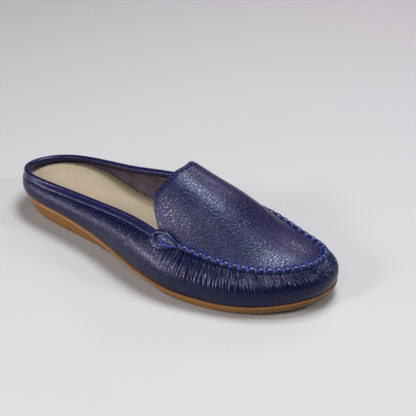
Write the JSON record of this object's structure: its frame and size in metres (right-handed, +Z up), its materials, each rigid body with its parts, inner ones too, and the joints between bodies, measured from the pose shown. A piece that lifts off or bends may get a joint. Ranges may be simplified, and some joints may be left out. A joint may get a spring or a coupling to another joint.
{
  "type": "moccasin mule",
  "caption": "Right shoe of a backless leather moccasin with a raised whipstitched apron, a low collar round an open heel and a thin gum wedge sole.",
  "frame": {"origin": "on the floor, at the centre of the heel's flat tread", "axes": "+X from heel to toe, +Y to the medial side, +Z up from the floor"},
  "size_m": [0.2494, 0.0957, 0.075],
  "materials": {
    "gum_sole": "satin gum",
    "insole_leather": "matt",
    "wall_leather": "pebbled, soft sheen",
    "apron_leather": "pebbled, soft sheen",
    "seam_leather": "smooth, soft sheen",
    "collar_leather": "smooth, soft sheen"
  },
  "bodies": {
    "root": {"outsole": "gum_sole", "insole": "insole_leather", "upper": "wall_leather", "apron": "apron_leather", "apron_seam": "seam_leather", "seam_tab_lateral": "seam_leather", "seam_tab_medial": "seam_leather", "collar_band": "collar_leather"}
  },
  "joints": []
}
